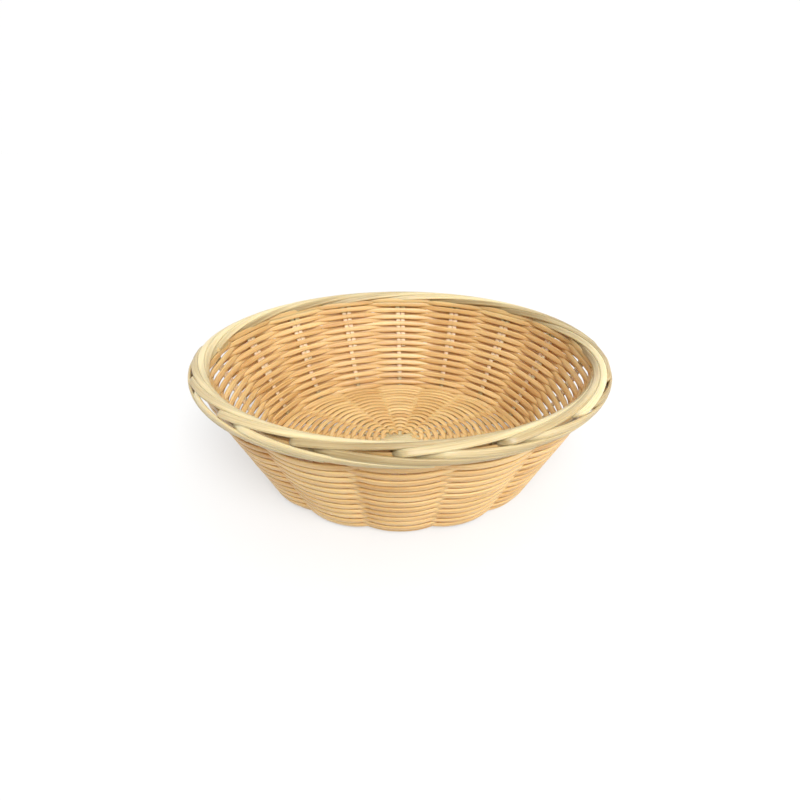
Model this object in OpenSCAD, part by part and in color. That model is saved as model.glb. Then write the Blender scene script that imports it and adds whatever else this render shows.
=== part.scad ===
// Round bread basket, woven from flat plastic cane.
// Eight rods cross four over four at the middle of the base and fan out as sixteen
// spokes. The spokes turn up as sixteen stakes, and sixteen by-stakes stiffen the upper
// wall beside them. In the border each by-stake's end is laid down to the right and winds
// up over the outside, and each stake's end winds down under it. Each row of weaving
// passes outside one stake and inside the next, half a wave out of step with the last.
// The origin is on the table, under the middle of the base. +Z is up. Sizes are in mm.

/* [Basket] */
// Outside diameter over the border
border_d = 230; // [200:1:280]
// Height from the table to the top of the border
basket_h = 69; // [55:1:85]
// Diameter at which the spokes turn up into stakes
base_d = 160; // [130:1:180]
// Rise of the domed base from its edge to its middle
dome_rise = 1.5; // [0:0.1:3]
// Radius of the bend from spoke to stake
turn_up_r = 4; // [3:0.5:4]

/* [Cane] */
// Width of a rod or by-stake
stake_w = 2.6; // [2.2:0.1:2.7]
// Thickness of a rod or by-stake
stake_t = 1.5; // [1.2:0.1:1.6]
// Thickness of a weaving strand
weaver_t = 1.2; // [0.9:0.1:1.4]
// Gap between a stake and a strand that passes it
weave_gap = 0.25; // [0.2:0.05:0.35]
// Gap between strands that lie side by side
row_gap = 0.25; // [0.15:0.05:0.4]

/* [Rows] */
// Radius of the first row of the base
first_row_r = 14; // [13.5:0.5:20]
// Height of each by-stake inside the wall
by_stake_h = 27; // [15:1:35]

/* [Border] */
// Radius from the middle of the border's section to the middle of its strands
border_r = 4.6; // [4.5:0.1:5.5]
// How far the heads of the stakes stand inside the middle of the border
head_in = 2.8; // [2.2:0.1:3.4]

/* [Hidden] */
// The weave
rods = 8;
layers = 2;
stakes = 2 * rods;
step = 360 / stakes;
wall_rows = 24;
edge_rows = 2;
base_rows = 27;
rows_per_node = 3;
base_nodes = base_rows / rows_per_node;
wave_points = 6;
crest_flat = 1.15;

// The border's section, and how its strands lie in it. Each way leads from a head out to
// where the strand is laid, as [stakes along, share of border_r, turn up from outside].
strand_out = norm([border_r + stake_t / 2, stake_w / 2]);
ring_r = border_d / 2 - strand_out;
ring_z = basket_h - strand_out;
lay_points = 4;
over_start = 0.15;
over_end = 2.75;
over_angle = 47;
over_lay = 40;
over_way = [[-0.035, 0.88, -120], [-0.028, 0.15, -110], [0.02, 0.52, 44]];
under_start = 0.7;
under_end = 2.85;
under_angle = 12;
under_lay = -42;
under_way = [
    [0.037, 0.88, -120], [0.09, 0.3, -90], [0.3, 0.3, -20], [0.5, 0.55, 18], [0.6, 0.8, 16]
];

// The base
base_stand = (stake_t + weaver_t) / 2 + weave_gap;
edge_z = base_stand + weaver_t / 2;
rod_pitch = stake_w + row_gap;
cross_half = rods / layers / 2 * rod_pitch + row_gap;
layer_rise = (stake_t + row_gap) / 2;
fan_r = 9;
fan_clear = 1.2;
level_r = first_row_r - fan_clear;
spoke_parts = 3;
bend_parts = 4;

// The wall, from the bend up to the heads of the stakes. The rows on the bend share it
// equally and are as wide as its inside allows. The wall's first row stands clear of the
// last of them where the two cross.
head_r = ring_r - head_in;
head_z = ring_z - border_r - stake_t / 2 - row_gap;
climb = atan2(head_z - edge_z, head_r - base_d / 2);
bend_r = base_d / 2 - turn_up_r * tan(climb / 2);
edge_share = climb / edge_rows;
edge_w = 2 * (turn_up_r - weaver_t / 2) * tan(edge_share / 2) - row_gap;
edge_turn = climb - edge_share / 2;
crossing_rise = 0.3;
wall_z = edge_z + turn_up_r * (1 - cos(edge_turn)) + edge_w / 2 * sin(edge_turn)
    + (weaver_t / 2 + crossing_rise * base_stand) * cos(edge_turn) - row_gap / 2;
wall_pitch = (head_z - wall_z) / wall_rows;
base_pitch = (bend_r - first_row_r) / (base_rows - 0.5);
last_row_r = bend_r - base_pitch / 2;
row_h = wall_pitch - row_gap;
wall_stand = stake_t / 2 / sin(climb) + row_h / 2 / tan(climb) + weave_gap + weaver_t / 2;
pair_off = rod_pitch / 2;

// ---- places ----

function unit(v) = v / norm(v);

// A point at radius r and height z, moved side mm to the left of the direction a
function at(a, r, z, side = 0) = [r * cos(a) - side * sin(a), r * sin(a) + side * cos(a), z];

// Height of the middle of a spoke at radius r
function spoke_z(r) = edge_z + dome_rise * max(0, 1 - pow(r / last_row_r, 2));

// Radius of the middle of a stake at height z
function stake_r(z) = base_d / 2 + (z - edge_z) / tan(climb);

// Sideways place of a stake at height z: it gives way to its by-stake as it climbs
function stake_side(z) = pair_off * (z - edge_z) / (head_z - edge_z);

// 1 where row number row passes outside stake number i, -1 where it passes inside
function side_of(row, i) = (row + i) % 2 == 0 ? 1 : -1;

// ---- bodies swept from rings of four corners ----

// Corners of a flat strand's section: w along across, t along through
function corners(p, across, through, w, t) = [
    p - across * w / 2 - through * t / 2,
    p + across * w / 2 - through * t / 2,
    p + across * w / 2 + through * t / 2,
    p - across * w / 2 + through * t / 2
];

// Two triangles for each side of each stretch between neighbouring rings
function sides(rings, stretches) = [
    for (i = [0:stretches - 1])
        for (k = [0:3])
            let (j = (i + 1) % rings, n = (k + 1) % 4)
                each [[4 * i + k, 4 * i + n, 4 * j + n], [4 * i + k, 4 * j + n, 4 * j + k]]
];

module strand_body(rings, closed = false) {
    n = len(rings);
    caps = [[3, 2, 1, 0], [for (k = [0:3]) 4 * (n - 1) + k]];
    polyhedron(
        points = [for (ring = rings) each ring],
        faces = concat(sides(n, closed ? n : n - 1), closed ? [] : caps)
    );
}

// A strand along [place, direction that its flat side faces] pairs
module strand(path) {
    last = len(path) - 1;
    strand_body([
        for (i = [0:last])
            let (
                along = unit(path[min(i + 1, last)][0] - path[max(i - 1, 0)][0]),
                across = unit(cross(along, path[i][1])),
                through = cross(across, along)
            )
                corners(path[i][0], across, through, stake_w, stake_t)
    ]);
}

// ---- the border ----

// A place in the border: u stakes along from direction a, rho out from the middle of
// the section and turned psi up from the outside, with the way that it faces
function in_border(a, u, rho, psi) =
    let (b = a + u * step)
        [at(b, ring_r + rho * cos(psi), ring_z + rho * sin(psi)), at(b, cos(psi), sin(psi))];

// The laid stretch of a border strand: it winds about the section at an even rate
function laid(a, start, end, angle, lay) =
    let (n = round((end - start) * lay_points))
        [for (i = [0:n])
            let (u = start + (end - start) * i / n)
                in_border(a, u, border_r, angle + lay * (u - start))];

// ---- stakes ----

// The way that a stake's flat side faces where it has turned up by the angle turned
function facing(a, turned) = at(a, sin(turned), -cos(turned));

// The head of a stake or by-stake, where it leaves the wall
function head(a, side) = [at(a, head_r, head_z, side), facing(a, climb)];

// From a head out through the border to the start of the laid stretch
function through(a, way) = [for (s = way) in_border(a, s[0], s[1] * border_r, s[2])];

// One arm of a rod: spoke, bend, stake and border strand. lateral and lift are its
// place in the cross, and along is the direction of the cross.
function arm(a, along, lateral, lift) = concat(
    [[at(along, cross_half, spoke_z(cross_half) + lift, lateral), [0, 0, -1]]],
    [[at(a, fan_r, spoke_z(fan_r) + lift), [0, 0, -1]]],
    [for (i = [0:spoke_parts])
        let (r = level_r + (last_row_r - level_r) * i / spoke_parts)
            [at(a, r, spoke_z(r)), [0, 0, -1]]],
    [for (i = [0:bend_parts])
        let (turned = climb * i / bend_parts, z = edge_z + turn_up_r * (1 - cos(turned)))
            [at(a, bend_r + turn_up_r * sin(turned), z, stake_side(z)), facing(a, turned)]],
    [head(a, pair_off)],
    through(a, under_way),
    laid(a, under_start, under_end, under_angle, under_lay)
);

function reversed(list) = [for (i = [len(list) - 1 : -1 : 0]) list[i]];

// Rods lie side by side in two crossing layers, and fan out to a stake at each end
module rod(i) {
    per_layer = rods / layers;
    layer = floor(i / per_layer);
    place = i % per_layer - (per_layer - 1) / 2;
    along = step / 2 + layer * 360 / (2 * layers);
    lift = layer_rise * (1 - 2 * layer);
    near = arm(along + place * step, along, place * rod_pitch, lift);
    far = arm(along + 180 - place * step, along + 180, -place * rod_pitch, lift);
    color("khaki") strand(concat(reversed(far), near));
}

module by_stake(i) {
    a = i * step;
    foot_z = head_z - by_stake_h;
    color("palegoldenrod") strand(concat(
        [[at(a, stake_r(foot_z), foot_z, stake_side(foot_z) - rod_pitch), facing(a, climb)]],
        [head(a, -pair_off)],
        through(a, over_way),
        laid(a, over_start, over_end, over_angle, over_lay)
    ));
}

// ---- rows ----

// A row that is straight over each stake and slopes between stakes. It stands stand mm
// off the stakes' middle, which is at radius r and height z and has turned up by turned.
module bent_row(row, r, z, turned, w, stand) {
    hold = asin((stake_w / 2 + weave_gap) / r);
    strand_body([
        for (i = [0:stakes - 1])
            for (e = [-1, 1])
                let (
                    a = i * step + e * hold,
                    off = stand * side_of(row, i),
                    p = at(a, r + off * sin(turned), z - off * cos(turned))
                )
                    corners(p, at(a, cos(turned), sin(turned)), facing(a, turned), w, weaver_t)
    ], closed = true);
}

module base_row(row) {
    r = last_row_r - row * base_pitch;
    bent_row(row, r, spoke_z(r), 0, base_pitch - row_gap, base_stand);
}

module base_rows(group) {
    color("burlywood")
        for (i = [0:rows_per_node - 1])
            base_row(group * rows_per_node + i);
}

module edge_rows() {
    color("burlywood")
        for (i = [0:edge_rows - 1])
            let (turned = (i + 0.5) * edge_share)
                bent_row(
                    i + 1,
                    bend_r + turn_up_r * sin(turned),
                    edge_z + turn_up_r * (1 - cos(turned)),
                    turned,
                    edge_w,
                    base_stand
                );
}

// The outline of a row in the wall, off mm from its middle line
function wave(row, r, off) = [
    for (i = [0:stakes * wave_points - 1])
        let (
            a = i * step / wave_points,
            swing = max(-1, min(1, crest_flat * cos(a * stakes / 2)))
        )
            [r + off + wall_stand * side_of(row, 0) * swing, a]
];

function to_xy(polar) = [for (p = polar) [p[0] * cos(p[1]), p[0] * sin(p[1])]];

module wall_row(k) {
    z = wall_z + k * wall_pitch + row_gap / 2;
    r = stake_r(z + row_h / 2);
    row = edge_rows + 1 + k;
    color("wheat")
        translate([0, 0, z])
            linear_extrude(row_h)
                difference() {
                    polygon(to_xy(wave(row, r, weaver_t / 2)));
                    polygon(to_xy(wave(row, r, -weaver_t / 2)));
                }
}

for (i = [1:rods])
    rod(i - 1);
for (i = [1:stakes])
    by_stake(i - 1);
for (i = [1:base_nodes])
    base_rows(base_nodes - i);
edge_rows();
for (i = [1:wall_rows])
    wall_row(i - 1);
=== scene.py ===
"""Looks of a round bread basket woven from extruded polypropylene cane.

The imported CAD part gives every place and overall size. Each CAD node is replaced by one
finished piece: eight rods, sixteen by-stakes and two weavers each in the base and wall.
Sizes inside the classes are in millimetres; meshes are in metres. Angles are in radians
unless a name ends in _deg. The basket stands on the floor at the origin, with +Z up.
"""

import logging
import math
from dataclasses import dataclass, field
from enum import Enum

import bpy
import numpy as np
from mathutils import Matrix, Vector


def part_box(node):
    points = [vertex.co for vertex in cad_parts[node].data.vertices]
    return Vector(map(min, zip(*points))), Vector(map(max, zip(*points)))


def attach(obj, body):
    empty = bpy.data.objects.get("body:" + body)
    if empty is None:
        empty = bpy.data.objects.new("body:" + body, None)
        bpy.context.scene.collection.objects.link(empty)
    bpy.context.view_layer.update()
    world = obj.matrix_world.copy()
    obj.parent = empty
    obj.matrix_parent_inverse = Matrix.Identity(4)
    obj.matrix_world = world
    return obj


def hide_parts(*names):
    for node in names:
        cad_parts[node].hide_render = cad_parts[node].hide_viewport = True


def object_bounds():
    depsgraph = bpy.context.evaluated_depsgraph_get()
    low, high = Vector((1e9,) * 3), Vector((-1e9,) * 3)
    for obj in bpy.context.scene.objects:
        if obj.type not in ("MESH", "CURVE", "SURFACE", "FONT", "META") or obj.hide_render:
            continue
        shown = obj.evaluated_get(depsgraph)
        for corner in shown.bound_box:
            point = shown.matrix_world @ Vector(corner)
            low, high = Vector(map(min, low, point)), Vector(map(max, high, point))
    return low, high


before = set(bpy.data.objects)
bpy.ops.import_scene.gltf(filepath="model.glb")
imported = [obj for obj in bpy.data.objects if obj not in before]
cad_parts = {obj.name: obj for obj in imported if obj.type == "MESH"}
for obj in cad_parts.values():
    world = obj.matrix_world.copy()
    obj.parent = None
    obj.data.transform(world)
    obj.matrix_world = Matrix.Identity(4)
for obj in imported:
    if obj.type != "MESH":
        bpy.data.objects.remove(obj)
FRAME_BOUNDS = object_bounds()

MM = 0.001
log = logging.getLogger("bread_basket")


class Weaver(Enum):
    """One of the two strands that chase each other round the basket."""

    A = 0
    B = 1


class End(Enum):
    """How the end of a cane is finished."""

    SOLID = "solid"
    HOLLOW = "hollow"


# ---- finishes ----


@dataclass(frozen=True)
class CaneFinish:
    """Looks of one kind of cane.

    Attributes:
        name: the real material.
        light: sRGB hex of the paler streaks.
        deep: sRGB hex of the deeper streaks.
        stressed: sRGB hex where the plastic has paled under strain.
        roughness: surface roughness.
        ior: index of refraction.
        glow: share of the light that scatters inside the plastic.
        streak_mm: width of one lengthwise streak.
        cloud_mm: length of one slow change of tone along the cane.
        ridge: strength of the fine extrusion ridges.
    """

    name: str
    light: str
    deep: str
    stressed: str
    roughness: float
    ior: float
    glow: float
    streak_mm: float
    cloud_mm: float
    ridge: float


@dataclass(frozen=True)
class PlainFinish:
    """Looks of the plain floor or of a card.

    Attributes:
        name: the real material.
        colour: sRGB hex of the surface.
        roughness: surface roughness.
        glow: strength of its own light, far from its middle; painted light, as the surface is no
            lamp.
        near_share: share of the glow near its middle, where the weaker glow is painted shade round
            what stands there.
        near_m: distance from its middle within which the glow is near_share.
        far_m: distance from its middle beyond which the glow is whole.
    """

    name: str
    colour: str
    roughness: float
    glow: float
    near_share: float = 0.68
    near_m: float = 0.3
    far_m: float = 1.2


# Golden, satin cane: reads as warm plastic with soft long highlights
WEAVING_CANE = CaneFinish(
    name="extruded polypropylene cane, golden",
    light="#CFB07B",
    deep="#AC8248",
    stressed="#CFB07B",
    roughness=0.42,
    ior=1.49,
    glow=0.6,
    streak_mm=0.8,
    cloud_mm=60.0,
    ridge=0.3,
)
# Paler, greyer cane of the rods and the border, with finer and clearer ridges
STAKE_CANE = CaneFinish(
    name="extruded polypropylene cane, straw",
    light="#CABA91",
    deep="#8F7B53",
    stressed="#EBC9A6",
    roughness=0.40,
    ior=1.49,
    glow=0.6,
    streak_mm=0.7,
    cloud_mm=70.0,
    ridge=0.9,
)
# Painted light: the floor glows though it is no lamp, and glows less near its middle as painted
# shade round the basket, so it stays white and keeps only the shadow at the basket's foot
FLOOR = PlainFinish(name="white floor with painted glow", colour="#A0A0A0", roughness=0.9, glow=1.6)
# Black felt on the card that shades the front of the basket
FLAG = PlainFinish(name="black felt", colour="#161616", roughness=0.95, glow=0.0)


def linear(hex_code: str) -> tuple:
    """Turns an sRGB hex code into a linear colour.

    Args:
        hex_code: "#RRGGBB".

    Returns:
        (red, green, blue, 1).
    """
    channels = [int(hex_code[i : i + 2], 16) / 255 for i in (1, 3, 5)]
    return tuple(
        c / 12.92 if c <= 0.04045 else ((c + 0.055) / 1.055) ** 2.4 for c in channels
    ) + (1.0,)


def add_node(tree, kind: str, inputs: dict | None = None, **settings):
    """Adds a shader node with its settings and input values or links.

    Args:
        tree: node tree to add to.
        kind: node type.
        inputs: value, or socket to link from, for each input name or number.
        **settings: node properties.

    Returns:
        The node.
    """
    node = tree.nodes.new(kind)
    for name, value in settings.items():
        setattr(node, name, value)
    for name, value in (inputs or {}).items():
        if isinstance(value, bpy.types.NodeSocket):
            tree.links.new(value, node.inputs[name])
        else:
            node.inputs[name].default_value = value
    return node


def mix_colour(tree, share, first, second):
    """Mixes two colours by a share, and returns the mixed colour's socket."""
    node = add_node(
        tree, "ShaderNodeMix", {0: share, 6: first, 7: second}, data_type="RGBA"
    )
    return node.outputs[2]


def cane_material(finish: CaneFinish) -> bpy.types.Material:
    """Builds the material of a cane from its UV map and its tone and stress values.

    The UV map holds the real length along and round the cane in metres. Streaks are noise
    stretched along the cane, ridges are a finer noise of the same kind used as a bump, and
    clouds are slow noise along it. tone shifts the whole strand and stress stains it.

    Args:
        finish: the cane's looks.

    Returns:
        The material.
    """
    material = bpy.data.materials.new(finish.name)
    material.use_nodes = True
    tree = material.node_tree
    tree.nodes.clear()
    uv = add_node(tree, "ShaderNodeUVMap", uv_map="cane").outputs["UV"]
    tone = add_node(tree, "ShaderNodeAttribute", attribute_name="tone").outputs["Fac"]
    stress = add_node(tree, "ShaderNodeAttribute", attribute_name="stress").outputs["Fac"]

    def stretched(along_mm: float, across_mm: float):
        """Noise with cells of the given length along and round the cane."""
        moved = add_node(tree, "ShaderNodeCombineXYZ", {"X": tone, "Y": tone, "Z": tone})
        scaled = add_node(
            tree,
            "ShaderNodeVectorMath",
            {0: uv, 1: (1 / (along_mm * MM), 1 / (across_mm * MM), 0.0), 2: moved.outputs[0]},
            operation="MULTIPLY_ADD",
        )
        return add_node(
            tree,
            "ShaderNodeTexNoise",
            {"Vector": scaled.outputs[0], "Scale": 1.0, "Detail": 2.0, "Roughness": 0.5},
        ).outputs["Fac"]

    streaks = stretched(finish.cloud_mm, finish.streak_mm)
    clouds = stretched(finish.cloud_mm, 1000.0)
    ridges = stretched(finish.cloud_mm / 3, finish.streak_mm / 2)
    summed = add_node(tree, "ShaderNodeMath", {0: streaks, 1: clouds}, operation="ADD")
    toned = add_node(tree, "ShaderNodeMath", {0: summed.outputs[0], 1: tone}, operation="ADD")
    share = add_node(
        tree,
        "ShaderNodeMapRange",
        {"Value": toned.outputs[0], "From Min": 0.7, "From Max": 1.3},
    ).outputs[0]
    colour = mix_colour(tree, share, linear(finish.deep), linear(finish.light))
    colour = mix_colour(tree, stress, colour, linear(finish.stressed))
    bump = add_node(
        tree,
        "ShaderNodeBump",
        {"Strength": finish.ridge, "Distance": 0.2 * MM, "Height": ridges},
    )
    shader = add_node(
        tree,
        "ShaderNodeBsdfPrincipled",
        {
            "Base Color": colour,
            "Roughness": finish.roughness,
            "IOR": finish.ior,
            "Subsurface Weight": finish.glow,
            "Subsurface Radius": (1.0, 0.66, 0.36),
            "Subsurface Scale": 3.5 * MM,
            "Normal": bump.outputs[0],
        },
    )
    out = add_node(tree, "ShaderNodeOutputMaterial", {"Surface": shader.outputs[0]})
    out.is_active_output = True
    return material


def plain_material(finish: PlainFinish) -> bpy.types.Material:
    """Builds a plain surface, a trace uneven, that glows more away from its middle: the glow is
    painted light, and its dimmer middle is painted shade.
    """
    material = bpy.data.materials.new(finish.name)
    material.use_nodes = True
    tree = material.node_tree
    tree.nodes.clear()
    place = add_node(tree, "ShaderNodeTexCoord").outputs["Object"]
    noise = add_node(tree, "ShaderNodeTexNoise", {"Vector": place, "Scale": 40.0})
    rough = add_node(
        tree,
        "ShaderNodeMapRange",
        {
            "Value": noise.outputs["Fac"],
            "To Min": finish.roughness - 0.05,
            "To Max": finish.roughness + 0.05,
        },
    )
    away = add_node(tree, "ShaderNodeVectorMath", {0: place}, operation="LENGTH")
    # Painted light: the glow rises from near_share of it near the middle to all of it beyond far_m,
    # so the floor round the basket carries painted shade
    glow = add_node(
        tree,
        "ShaderNodeMapRange",
        {
            "Value": away.outputs["Value"],
            "From Min": finish.near_m,
            "From Max": finish.far_m,
            "To Min": finish.glow * finish.near_share,
            "To Max": finish.glow,
        },
    )
    shader = add_node(
        tree,
        "ShaderNodeBsdfPrincipled",
        {
            "Base Color": linear(finish.colour),
            "Roughness": rough.outputs[0],
            "Emission Color": linear(finish.colour),
            "Emission Strength": glow.outputs[0],
        },
    )
    add_node(tree, "ShaderNodeOutputMaterial", {"Surface": shader.outputs[0]})
    return material


# ---- swept cane ----


def unit(v: np.ndarray) -> np.ndarray:
    """Scales vectors to length one."""
    return v / np.linalg.norm(v, axis=-1, keepdims=True)


def around(angle, r, z, side=0.0) -> np.ndarray:
    """Points at radius r and height z in the direction angle, moved side to its left."""
    angle, r, z, side = np.broadcast_arrays(angle, r, z, side)
    return np.stack(
        [
            r * np.cos(angle) - side * np.sin(angle),
            r * np.sin(angle) + side * np.cos(angle),
            z,
        ],
        axis=-1,
    ).astype(float)


def smooth(values: np.ndarray, knots: np.ndarray, where: np.ndarray) -> np.ndarray:
    """Cubic curve through values.

    The slope at each knot is that of the chord between its neighbours, and each stretch is
    the cubic that has those places and slopes at its two ends.

    Args:
        values: (n, m) values at the knots.
        knots: (n,) rising numbers.
        where: numbers at which to read the curve.

    Returns:
        (len(where), m) values.
    """
    slopes = np.gradient(values, knots, axis=0)
    i = np.clip(np.searchsorted(knots, where, side="right") - 1, 0, len(knots) - 2)
    h = (knots[i + 1] - knots[i])[:, None]
    t = (where - knots[i])[:, None] / h
    return (
        (1 + 2 * t) * (1 - t) ** 2 * values[i]
        + t * (1 - t) ** 2 * h * slopes[i]
        + t * t * (3 - 2 * t) * values[i + 1]
        + t * t * (t - 1) * h * slopes[i + 1]
    )


@dataclass
class Path:
    """Middle line of a cane and what its section does along it, in millimetres."""

    points: np.ndarray
    facing: np.ndarray
    width: np.ndarray
    thick: np.ndarray
    stress: np.ndarray

    def rows(self) -> np.ndarray:
        """All values side by side, one row per station."""
        return np.column_stack(
            [self.points, self.facing, self.width, self.thick, self.stress]
        )

    @staticmethod
    def of_rows(rows: np.ndarray) -> "Path":
        """A path from rows() values."""
        return Path(rows[:, 0:3], rows[:, 3:6], rows[:, 6], rows[:, 7], rows[:, 8])

    def refined(self, spacing: float) -> "Path":
        """The same path as a smooth curve with stations about spacing apart."""
        steps = np.linalg.norm(np.diff(self.points, axis=0), axis=1)
        knots = np.concatenate([[0.0], np.cumsum(steps)])
        count = int(round(knots[-1] / spacing)) + 1
        return Path.of_rows(smooth(self.rows(), knots, np.linspace(0, knots[-1], count)))


@dataclass
class Cane:
    """A cane swept along a path: a flattened tube with rounded edges.

    Attributes:
        name: piece name.
        path: where it runs.
        tone: shift of its colour, about -0.3 to 0.3.
        start: how its first end is finished.
        end: how its last end is finished.
        section_points: corners of the section.
        roundness: power of the section's outline; 1 is an ellipse and 0 a rectangle.
        wall: share of the section left open in a hollow end.
        depth: how deep a hollow end is.
    """

    name: str
    path: Path
    tone: float = 0.0
    start: End = End.SOLID
    end: End = End.SOLID
    section_points: int = 14
    roundness: float = 0.68
    wall: float = 0.55
    depth: float = 3.0

    def rings(self) -> tuple:
        """Rings of section corners.

        Each corner is at (half width x sign(cos) |cos|^p, half thickness x sign(sin)
        |sin|^p) in the plane across the path, where p is the roundness. A hollow end adds
        a smaller ring in the end's plane and the same ring deeper inside.

        Returns:
            Rings (n, k, 3), length along (n,) and stress (n,), in millimetres.
        """
        p = self.path
        along = unit(np.gradient(p.points, axis=0))
        across = unit(np.cross(along, p.facing))
        through = np.cross(across, along)
        turn = 2 * np.pi * np.arange(self.section_points) / self.section_points
        x = np.sign(np.cos(turn)) * np.abs(np.cos(turn)) ** self.roundness / 2
        y = np.sign(np.sin(turn)) * np.abs(np.sin(turn)) ** self.roundness / 2
        rings = (
            p.points[:, None]
            + across[:, None] * (x[None, :] * p.width[:, None])[..., None]
            + through[:, None] * (y[None, :] * p.thick[:, None])[..., None]
        )
        steps = np.linalg.norm(np.diff(p.points, axis=0), axis=1)
        length = np.concatenate([[0.0], np.cumsum(steps)])
        stress = p.stress
        if self.start is End.HOLLOW:
            inner = p.points[0] + (rings[0] - p.points[0]) * self.wall
            deep = inner + along[0] * self.depth
            rings = np.concatenate([[deep, inner], rings])
            length = np.concatenate([[length[0]] * 2, length])
            stress = np.concatenate([[stress[0]] * 2, stress])
        if self.end is End.HOLLOW:
            inner = p.points[-1] + (rings[-1] - p.points[-1]) * self.wall
            deep = inner - along[-1] * self.depth
            rings = np.concatenate([rings, [inner, deep]])
            length = np.concatenate([length, [length[-1]] * 2])
            stress = np.concatenate([stress, [stress[-1]] * 2])
        return rings, length, stress

    def build(self) -> bpy.types.Object:
        """Makes the mesh object, closed at both ends, with faces turned outward."""
        rings, length, stress = self.rings()
        n, k = rings.shape[:2]
        i, c = np.meshgrid(np.arange(n - 1), np.arange(k), indexing="ij")
        i, c = i.ravel(), c.ravel()
        d = (c + 1) % k
        quads = np.stack([i * k + c, (i + 1) * k + c, (i + 1) * k + d, i * k + d], axis=1)
        edge = np.arange(k)
        first, last = n * k, n * k + 1
        start_fan = np.stack([np.full(k, first), edge, (edge + 1) % k], axis=1)
        end_ring = (n - 1) * k
        end_fan = np.stack(
            [np.full(k, last), end_ring + (edge + 1) % k, end_ring + edge], axis=1
        )
        points = np.concatenate(
            [rings.reshape(-1, 3), rings[0].mean(0)[None], rings[-1].mean(0)[None]]
        )
        girth = 2 * (self.path.width.mean() + self.path.thick.mean()) / k
        quad_uv = np.stack(
            [
                np.stack([length[i], length[i + 1], length[i + 1], length[i]], axis=1),
                np.stack([c, c, c + 1, c + 1], axis=1) * girth,
            ],
            axis=-1,
        )
        fan_v = np.stack([edge, edge, edge + 1], axis=1) * girth
        start_uv = np.stack([np.full((k, 3), length[0]), fan_v], axis=-1)
        end_uv = np.stack([np.full((k, 3), length[-1]), fan_v], axis=-1)
        uv = np.concatenate(
            [quad_uv.reshape(-1, 2), start_uv.reshape(-1, 2), end_uv.reshape(-1, 2)]
        )
        values = np.concatenate([np.repeat(stress, k), [stress[0], stress[-1]]])
        mesh = self._mesh(points, quads, np.concatenate([start_fan, end_fan]))
        mesh.uv_layers.new(name="cane").data.foreach_set(
            "uv", (uv * MM).astype(np.float32).ravel()
        )
        for name, data in (("stress", values), ("tone", np.full(len(points), self.tone))):
            layer = mesh.attributes.new(name, "FLOAT", "POINT")
            layer.data.foreach_set("value", data.astype(np.float32))
        piece = bpy.data.objects.new(self.name, mesh)
        bpy.context.scene.collection.objects.link(piece)
        return piece

    def _mesh(self, points: np.ndarray, quads: np.ndarray, tris: np.ndarray):
        """A smooth mesh in metres from millimetre points and corner numbers."""
        mesh = bpy.data.meshes.new(self.name)
        corners = np.concatenate([quads.ravel(), tris.ravel()]).astype(np.int32)
        starts = np.concatenate(
            [np.arange(len(quads)) * 4, len(quads) * 4 + np.arange(len(tris)) * 3]
        ).astype(np.int32)
        mesh.vertices.add(len(points))
        mesh.vertices.foreach_set("co", (points * MM).astype(np.float32).ravel())
        mesh.loops.add(len(corners))
        mesh.loops.foreach_set("vertex_index", corners)
        mesh.polygons.add(len(starts))
        mesh.polygons.foreach_set("loop_start", starts)
        mesh.polygons.foreach_set("use_smooth", np.ones(len(starts), bool))
        mesh.update(calc_edges=True)
        return mesh


def wander(where: np.ndarray, seed: int, scale: float) -> np.ndarray:
    """Slow, smooth unevenness between about -1 and 1.

    It is the mean of five sine waves of where/scale, with frequencies from 0.4 to 2.3 and
    starting points drawn from the seed.

    Args:
        where: places along a strand.
        seed: picks the starting points.
        scale: length of a typical wave.

    Returns:
        One value for each place.
    """
    rng = np.random.default_rng(seed)
    rates = np.linspace(0.4, 2.3, 5) * (1 + 0.1 * rng.random(5))
    return np.sin(
        2 * np.pi * (where[:, None] / scale * rates + rng.random(5))
    ).mean(axis=1) * 1.6


# ---- the shape that everything follows ----


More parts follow.
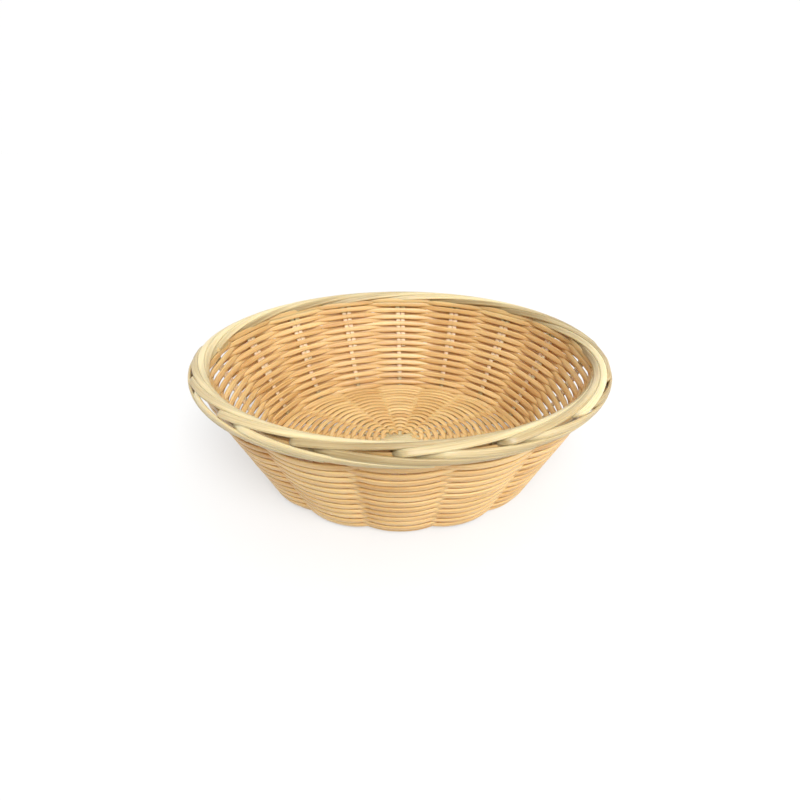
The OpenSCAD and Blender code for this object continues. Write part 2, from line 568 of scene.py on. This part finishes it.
@dataclass
class Meridian:
    """Middle line of a stake from the middle of the base to its head, in millimetres.

    Rows of weaving are numbered from the middle outward and up, and place() turns a row
    number, which may be a fraction, into a place on this line.

    Attributes:
        stakes: number of stakes.
        base_rows: rows on the flat base.
        edge_rows: rows on the bend.
        wall_rows: rows in the wall.
        first_r: radius of row 0.
        base_pitch: distance between rows on the base.
        bend_r: radius at which the bend starts.
        turn_r: radius of the bend.
        climb: slope of the wall.
        spoke_z: height of the spokes' middle at the edge of the base.
        dome: rise of the base's middle.
        head_r: radius of the heads.
        head_z: height of the heads.
        top_climb: slope of the line where it enters the border.
        steep_row: row at which it starts to grow steeper.
        steep_rows: rows over which it does.
    """

    stakes: int
    base_rows: int
    edge_rows: int
    wall_rows: int
    first_r: float
    base_pitch: float
    bend_r: float
    turn_r: float
    climb: float
    spoke_z: float
    dome: float
    head_r: float
    head_z: float
    top_climb: float = math.radians(80)
    steep_row: float = 49.0
    steep_rows: float = 4.0

    @staticmethod
    def of_frame(stand: float = 2.15, half_thick: float = 0.6, gap: float = 0.25) -> "Meridian":
        """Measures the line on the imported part.

        Args:
            stand: how far a wall row stands off the stakes' middle.
            half_thick: half of a row's thickness.
            gap: gap between rows.

        Returns:
            The line.
        """
        low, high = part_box("wall_row_2"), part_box("wall_row_24")
        inner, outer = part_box("base_rows_1"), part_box("base_rows_9")
        base_pitch = (outer[1].x - inner[1].x) / MM / 24
        last_r = outer[1].x / MM - (base_pitch - gap) / 2
        spoke_z = 2.2
        low_z = (low[0].z + low[1].z) / 2 / MM
        high_z = (high[0].z + high[1].z) / 2 / MM
        low_r = low[1].x / MM - stand - half_thick
        high_r = high[1].x / MM - stand - half_thick
        climb = math.atan2(high_z - low_z, high_r - low_r)
        head_z = high[1].z / MM + gap / 2
        head_r = high_r + (head_z - high_z) / math.tan(climb)
        return Meridian(
            stakes=16,
            base_rows=27,
            edge_rows=2,
            wall_rows=24,
            first_r=last_r - 26 * base_pitch,
            base_pitch=base_pitch,
            bend_r=last_r + base_pitch / 2,
            turn_r=4.0,
            climb=climb,
            spoke_z=spoke_z,
            dome=inner[0].z / MM,
            head_r=head_r,
            head_z=head_z,
        )

    @property
    def step(self) -> float:
        """Angle from one stake to the next."""
        return 2 * math.pi / self.stakes

    def spoke_height(self, r):
        """Height of a spoke's middle: a shallow dome, highest in the middle."""
        return self.spoke_z + self.dome * np.clip(1 - (r / self.bend_r) ** 2, 0, 1)

    def place(self, row: np.ndarray) -> tuple:
        """Place of a row number on the line.

        The line is the running sum of short steps. Each is the distance between rows,
        pointed at the angle turned: level on the base, an equal share of the climb a row
        on the bend, then the climb, and steeper under the border, where rows crowd.

        Args:
            row: row numbers.

        Returns:
            Radius, height and angle turned from level.
        """
        bend_row = self.base_rows - 0.5
        wall_row = bend_row + self.edge_rows
        fine = np.linspace(-2, wall_row + self.wall_rows + 5, 1200)
        turn = np.clip((fine - bend_row) / self.edge_rows, 0, 1) * self.climb
        steep = np.clip((fine - self.steep_row) / self.steep_rows, 0, 1)
        turn = turn + steep * (self.top_climb - self.climb)
        top_z = self.spoke_z + self.turn_r * (1 - math.cos(self.climb))
        wall_pitch = (self.head_z - top_z) / math.sin(self.climb) / self.wall_rows
        pitch = np.select(
            [fine < bend_row, fine < wall_row],
            [self.base_pitch, self.turn_r * self.climb / self.edge_rows],
            wall_pitch * (1 - 0.6 * np.clip((fine - self.steep_row - 4) / 2, 0, 1)),
        )
        step = pitch[1:] * np.diff(fine)
        middle = (turn[1:] + turn[:-1]) / 2
        start_r = self.first_r + fine[0] * self.base_pitch
        r = start_r + np.concatenate([[0], np.cumsum(step * np.cos(middle))])
        z = self.spoke_z + np.concatenate([[0], np.cumsum(step * np.sin(middle))])
        z = np.where(fine < bend_row, self.spoke_height(r), z)
        return np.interp(row, fine, r), np.interp(row, fine, z), np.interp(row, fine, turn)


@dataclass
class Weaving:
    """Two weavers that chase each other round the stakes.

    A weaver climbs two rows a turn. It stands amplitude x (1.25 c - 0.25 c^3) + outward
    off the stakes' middle, where c is the cosine of its place between two stakes on the
    same side, so the crests are a little flat. In the wall its width drops to inner_width
    by ((1 - c) / 2)^inner_power where it passes inside a stake, and midway, where it
    squeezes between the rows above and below, it drops by exp(-(c / squeeze)^2).
    Each weaver starts early_rows inside the first row, to close the middle of the base.
    """

    line: Meridian
    base_stand: float = 1.4
    wall_stand: float = 2.1
    outward: float = 0.4
    crest_width: float = 3.6
    inner_width: float = 3.1
    inner_power: float = 9.0
    base_width: float = 3.3
    cross_width: float = 2.4
    base_extra: float = 0.15
    crest_thick: float = 1.3
    cross_thick: float = 1.65
    centre_width: float = 3.0
    early_rows: int = 2
    squeeze: float = 0.33
    stations: int = 12
    unevenness: float = 0.07

    def path(self, weaver: Weaver, first: float, last: float) -> Path:
        """Path of a weaver between two row numbers.

        Args:
            weaver: which weaver.
            first: row number at its start.
            last: row number at its end.

        Returns:
            The path.
        """
        per_turn = self.line.stakes * self.stations
        count = int(round((last - first) / 2 * per_turn)) + 1
        row = np.linspace(first, last, count)
        angle = (row - weaver.value) * np.pi
        seed = 11 + weaver.value
        steps = (row - weaver.value) / 2 * self.line.stakes
        uneven = wander(steps, seed, 5.0) * self.unevenness
        r, z, turned = self.line.place(row + uneven)
        c = np.cos(angle * self.line.stakes / 2) * (1 if weaver is Weaver.A else -1)
        rise = np.clip((row - self.line.base_rows + 1) / 3, 0, 1)
        stand = self.base_stand + (self.wall_stand - self.base_stand) * rise
        off = stand * (1.25 * c - 0.25 * c**3) * (1 + 0.05 * wander(steps, seed + 5, 3.0))
        off += self.outward * rise
        squeezed = np.exp(-((c / self.squeeze) ** 2))
        roomy = np.clip(row / 12, 0, 1)
        inner = rise * ((1 - c) / 2) ** self.inner_power
        wide = self.base_width + (self.crest_width - self.base_width) * rise
        wide = wide + (self.inner_width - wide) * inner
        crest = self.centre_width + (wide - self.centre_width) * roomy
        cross = np.minimum(self.cross_width, crest) + self.base_extra * (1 - rise)
        zero = np.zeros(count)
        facing = around(angle, np.sin(turned), -np.cos(turned))
        return Path(
            points=around(angle, r + off * np.sin(turned), z - off * np.cos(turned)),
            facing=facing,
            width=crest - (crest - cross) * squeezed,
            thick=self.crest_thick + (self.cross_thick - self.crest_thick) * squeezed,
            stress=zero,
        )


@dataclass
class Border:
    """The plaited border: a round bundle of laid strands over the heads.

    A place in it is u stake spacings along, rho out from the bundle's middle and psi_deg
    up from its outside. Over strands rise over_lay degrees a spacing and under strands
    sink by under_lay.
    """

    ring_r: float
    ring_z: float
    step: float
    strand_r: float = 4.6
    width: float = 3.45
    thick: float = 1.55
    over_angle: float = 41.0
    over_lay: float = 40.0
    over_end: float = 2.85
    under_angle: float = 41.0
    under_lay: float = -42.0
    under_start: float = 0.62
    under_end: float = 2.4

    def spot(self, a: float, u, rho, psi_deg, back=0.0) -> np.ndarray:
        """Rows of places and facings in the border.

        Args:
            a: direction of the strand's stake.
            u: stake spacings along.
            rho: share of strand_r out from the bundle's middle.
            psi_deg: turn up from the outside.
            back: how far the facing turns to look back along the border, 0 to 1.

        Returns:
            (n, 6) place and facing.
        """
        u, rho, psi, back = (np.atleast_1d(np.asarray(v, float)) for v in (u, rho, psi_deg, back))
        u, rho, psi, back = np.broadcast_arrays(u, rho, np.radians(psi), back)
        angle = a + u * self.step
        out, up = rho * self.strand_r * np.cos(psi), rho * self.strand_r * np.sin(psi)
        place = around(angle, self.ring_r + out, self.ring_z + up)
        face = around(angle, np.cos(psi), np.sin(psi)) * (1 - back)[:, None]
        face -= around(angle + np.pi / 2, 1.0, 0.0) * back[:, None]
        return np.column_stack([place, unit(face)])

    def over(self, a: float) -> np.ndarray:
        """Rows of an over strand: out of the bundle at an elbow, then up and inward."""
        u = np.arange(0.2, self.over_end, 0.12)
        laid = self.spot(a, u, 1.0, self.over_angle + self.over_lay * u)
        return np.concatenate(
            [
                self.spot(a, [-0.05, -0.01], [0.35, 0.62], [100, 42], [0.8, 0.85]),
                self.spot(a, [0.035, 0.1], [0.92, 1.02], [41, 44], [0.45, 0.12]),
                laid,
                self.spot(
                    a, self.over_end + np.array([0.12, 0.3, 0.6]), [0.9, 0.7, 0.45], [158, 165, 178]
                ),
            ]
        )

    def under(self, a: float) -> np.ndarray:
        """Rows of an under strand: out of the bundle below the over strand, then down."""
        u = np.arange(self.under_start, self.under_end, 0.12)
        laid = self.spot(a, u, 1.0, self.under_angle + self.under_lay * u)
        return np.concatenate(
            [
                self.spot(a, [0.1, 0.2, 0.29], [0.3, 0.25, 0.55], [150, 20, 15], [0.4, 0.5, 0.3]),
                self.spot(a, [0.38, 0.5], [0.86, 0.97], [22, 20], [0.1, 0.0]),
                laid,
            ]
        )


@dataclass
class Stakes:
    """The eight rods, whose ends are the sixteen stakes, and the sixteen by-stakes."""

    line: Meridian
    border: Border
    rods: int = 8
    layers: int = 2
    cross_pitch: float = 2.85
    pair_pitch: float = 3.4
    base_width: float = 2.8
    wall_width: float = 3.25
    base_thick: float = 1.5
    wall_thick: float = 1.6
    fan_r: float = 9.0
    level_r: float = 12.8
    lift: float = 0.875
    foot_row: float = 40.4
    head_row: float = 54.0
    spread: float = 0.9
    strain: float = 0.7
    strain_z: tuple = (8.0, 16.0)
    grown_r: tuple = (20.0, 75.0)
    spacing: float = 1.6

    def wall_part(self, a: float, row: np.ndarray, shift: float) -> np.ndarray:
        """Rows of a stake over the given row numbers, moved sideways by shift.

        A stake gives way to its by-stake: it stands pair_pitch/2 aside at the head and
        less in proportion to its height below.
        """
        r, z, turned = self.line.place(row)
        low = self.line.spoke_z
        spread = self.spread * np.clip((row - self.head_row + 3) / 3, 0, 1)
        side = self.pair_pitch / 2 * (z - low) / (self.line.head_z - low) + shift
        side = side + spread * np.sign(side)
        facing = around(a, np.sin(turned), -np.cos(turned))
        return np.column_stack([around(a, r, z, side), facing])

    def arm(self, a: float, along: float, lateral: float, lift: float) -> np.ndarray:
        """Rows of one arm of a rod, from the cross to the end of its border strand.

        Args:
            a: direction of the stake.
            along: direction of the rod in the cross.
            lateral: sideways place in the cross.
            lift: height of the rod's layer in the cross over the spokes.

        Returns:
            (n, 6) places and facings.
        """
        line = self.line
        cross_half = self.rods / self.layers / 2 * self.cross_pitch
        down = [0.0, 0.0, -1.0]
        spokes = np.linspace(self.level_r, line.bend_r - 2, 9)
        bend_row = line.base_rows - 0.5
        wall = np.concatenate(
            [bend_row + np.linspace(0, line.edge_rows, 5), np.linspace(31, self.head_row, 10)]
        )
        flat = [
            np.append(around(along, r, line.spoke_height(r) + lift, lateral), down)
            for r in (cross_half * 0.5, cross_half)
        ]
        fan_z = line.spoke_height(self.fan_r) + lift * 0.8
        fan = [np.append(around(a, self.fan_r + 0.5, fan_z), down)]
        level = np.column_stack(
            [around(a, spokes, line.spoke_height(spokes)), np.tile(down, (len(spokes), 1))]
        )
        return np.concatenate(
            [flat, fan, level, self.wall_part(a, wall, 0.0), self.border.under(a)]
        )

    def sized(self, rows: np.ndarray) -> Path:
        """Adds width, thickness and stress to rows of places and facings.

        A stake grows from its base to its wall size over the radii grown_r, and pales
        with height over strain_z, up to its head.
        """
        r = np.hypot(rows[:, 0], rows[:, 1])
        grown = np.clip((r - self.grown_r[0]) / (self.grown_r[1] - self.grown_r[0]), 0, 1)
        in_border = np.clip((rows[:, 2] - self.line.head_z) / 3, 0, 1)
        width = self.base_width + (self.wall_width - self.base_width) * grown
        width = width + (self.border.width - width) * in_border
        thick = self.base_thick + (self.wall_thick - self.base_thick) * grown
        path = Path(rows[:, :3], rows[:, 3:6], width, thick, np.zeros(len(rows)))
        path = path.refined(self.spacing)
        z = path.points[:, 2]
        low, high = self.strain_z
        paled = np.clip((z - low) / (high - low), 0, 1) * (z < self.line.head_z - 2)
        path.stress = self.strain * paled
        return path

    def rod(self, i: int) -> Path:
        """Path of rod i: two arms joined at the cross."""
        line = self.line
        per_layer = self.rods // self.layers
        layer = i // per_layer
        place = i % per_layer - (per_layer - 1) / 2
        along = line.step / 2 + layer * math.pi / self.layers
        lift = self.lift * (1 - 2 * layer)
        near = self.arm(along + place * line.step, along, place * self.cross_pitch, lift)
        far = self.arm(
            along + math.pi - place * line.step,
            along + math.pi,
            -place * self.cross_pitch,
            lift,
        )
        return self.sized(np.concatenate([far[::-1], near]))

    def by_stake(self, i: int) -> Path:
        """Path of by-stake i: from its foot in the wall to the end of its over strand."""
        a = i * self.line.step
        wall = np.linspace(self.foot_row, self.head_row, 7)
        rows = np.concatenate([self.wall_part(a, wall, -self.pair_pitch), self.border.over(a)])
        return self.sized(rows)


# ---- the basket ----


@dataclass
class Basket:
    """The whole basket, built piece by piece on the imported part."""

    line: Meridian
    weaving: Weaving
    border: Border
    stakes: Stakes
    finishes: dict = field(default_factory=dict)

    @staticmethod
    def of_frame() -> "Basket":
        """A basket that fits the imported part."""
        line = Meridian.of_frame()
        low, high = FRAME_BOUNDS
        reach = Border.strand_r + Border.thick / 2
        border = Border(
            ring_r=(high.x - low.x) / 2 / MM - reach, ring_z=high.z / MM - reach, step=line.step
        )
        return Basket(line, Weaving(line), border, Stakes(line, border))

    def add(self, cane: Cane, slot: str, nodes: list) -> None:
        """Builds a cane, gives it its finish and puts it in the place of CAD nodes."""
        piece = cane.build()
        piece.data.materials.append(self.finishes[slot])
        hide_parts(*nodes)
        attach(piece, "root")
        log.info(
            "%s: %d faces, %.0f mm of cane, stands for %s",
            cane.name,
            len(piece.data.polygons),
            np.linalg.norm(np.diff(cane.path.points, axis=0), axis=1).sum(),
            ", ".join(nodes),
        )

    def build(self) -> None:
        """Builds every piece."""
        self.finishes = {
            "weaving_cane": cane_material(WEAVING_CANE),
            "stake_cane": cane_material(STAKE_CANE),
        }
        line = self.line
        rng = np.random.default_rng(5)
        for i in range(self.stakes.rods):
            cane = Cane(f"rod_{i + 1}_cane", self.stakes.rod(i), rng.uniform(-0.25, 0.25))
            self.add(cane, "stake_cane", [f"rod_{i + 1}"])
        for i in range(line.stakes):
            cane = Cane(
                f"by_stake_{i + 1}_cane",
                self.stakes.by_stake(i),
                rng.uniform(-0.25, 0.25),
                start=End.HOLLOW,
            )
            self.add(cane, "stake_cane", [f"by_stake_{i + 1}"])
        edge = line.base_rows - 1
        top = line.base_rows + line.edge_rows + line.wall_rows - 1
        for weaver in Weaver:
            n = weaver.value
            name = weaver.name.lower()
            base = self.weaving.path(weaver, n - self.weaving.early_rows, edge + n)
            nodes = [f"base_rows_{k}" for k in range(1 + n, 10, 2)]
            self.add(Cane(f"base_weaver_{name}", base, 0.1 * n), "weaving_cane", nodes)
            wall = self.weaving.path(weaver, edge + n, top + 4)
            nodes = [f"wall_row_{k}" for k in range(1 + n, 25, 2)]
            nodes += ["edge_rows"] if weaver is Weaver.A else []
            self.add(Cane(f"wall_weaver_{name}", wall, 0.1 * n), "weaving_cane", nodes)


# ---- the studio ----


@dataclass
class Softbox:
    """A square lamp that looks at the basket."""

    name: str
    place: tuple
    size: float
    power: float
    colour: str

    def add(self, target: Vector) -> None:
        """Adds the lamp, turned to the target."""
        data = bpy.data.lights.new(self.name, "AREA")
        data.shape = "SQUARE"
        data.size = self.size
        data.energy = self.power
        data.color = linear(self.colour)[:3]
        lamp = bpy.data.objects.new(self.name, data)
        lamp.location = self.place
        lamp.rotation_euler = (target - lamp.location).to_track_quat("-Z", "Y").to_euler()
        bpy.context.scene.collection.objects.link(lamp)


@dataclass(frozen=True)
class Flag:
    """Upright dark card that keeps light off the front of the basket, in metres."""

    left: float = -0.75
    right: float = 0.12
    y: float = -0.45
    top: float = 0.25

    def add(self) -> None:
        """Adds the card as staged furniture that the camera itself doesn't see."""
        spots = [(self.left, 0), (self.right, 0), (self.right, self.top), (self.left, self.top)]
        mesh = bpy.data.meshes.new("flag")
        mesh.from_pydata([(x, self.y, z) for x, z in spots], [], [(0, 1, 2, 3)])
        mesh.materials.append(plain_material(FLAG))
        card = bpy.data.objects.new("flag", mesh)
        bpy.context.scene.collection.objects.link(card)
        card.visible_camera = False


@dataclass
class Studio:
    """Floor, flag, lamps, surrounding light and camera, in metres."""

    floor_size: float = 12.0
    sky: float = 0.845
    exposure: float = 0.25
    camera_elevation_deg: float = 27.13
    camera_reach: float = 2.882
    aim_z: float = 0.030
    focal_mm: float = 23.45
    shift_y: float = 0.0043
    softboxes: tuple = (
        Softbox("key softbox", (0.2, -0.95, 0.9), 0.6, 17.0, "#FFFFFF"),
        Softbox("side softbox", (1.0, -0.55, 0.3), 0.4, 2.5, "#FFFFFF"),
    )

    def build(self, border_r: float) -> None:
        """Builds the studio round a basket with the given border radius."""
        self._floor()
        Flag().add()
        target = Vector((0.0, 0.0, self.aim_z))
        for lamp in self.softboxes:
            lamp.add(target)
        world = bpy.data.worlds.new("studio")
        world.use_nodes = True
        background = world.node_tree.nodes["Background"]
        background.inputs["Color"].default_value = (1, 1, 1, 1)
        background.inputs["Strength"].default_value = self.sky
        scene = bpy.context.scene
        scene.world = world
        scene.view_settings.view_transform = "Standard"
        scene.view_settings.exposure = self.exposure
        self._camera(target, border_r)

    def _floor(self) -> None:
        """Adds the square floor as staged furniture."""
        half = self.floor_size / 2
        mesh = bpy.data.meshes.new("floor")
        mesh.from_pydata(
            [(-half, -half, 0), (half, -half, 0), (half, half, 0), (-half, half, 0)],
            [],
            [(0, 1, 2, 3)],
        )
        mesh.materials.append(plain_material(FLOOR))
        floor = bpy.data.objects.new("floor", mesh)
        bpy.context.scene.collection.objects.link(floor)

    def _camera(self, target: Vector, border_r: float) -> None:
        """Adds the camera, camera_reach border radii from the target and looking at it."""
        data = bpy.data.cameras.new("camera")
        data.lens = self.focal_mm
        data.shift_y = self.shift_y
        data.sensor_width = 36.0
        data.clip_start = 0.01
        data.clip_end = 100.0
        camera = bpy.data.objects.new("camera", data)
        lift = math.radians(self.camera_elevation_deg)
        reach = self.camera_reach * border_r
        camera.location = target + Vector((0, -reach * math.cos(lift), reach * math.sin(lift)))
        camera.rotation_euler = (target - camera.location).to_track_quat("-Z", "Y").to_euler()
        bpy.context.scene.collection.objects.link(camera)
        bpy.context.scene.camera = camera


def main() -> None:
    """Builds the basket and the studio."""
    logging.basicConfig(level=logging.INFO, format="%(message)s")
    basket = Basket.of_frame()
    basket.build()
    Studio().build(basket.border.ring_r * MM)


if __name__ == "__main__":
    main()
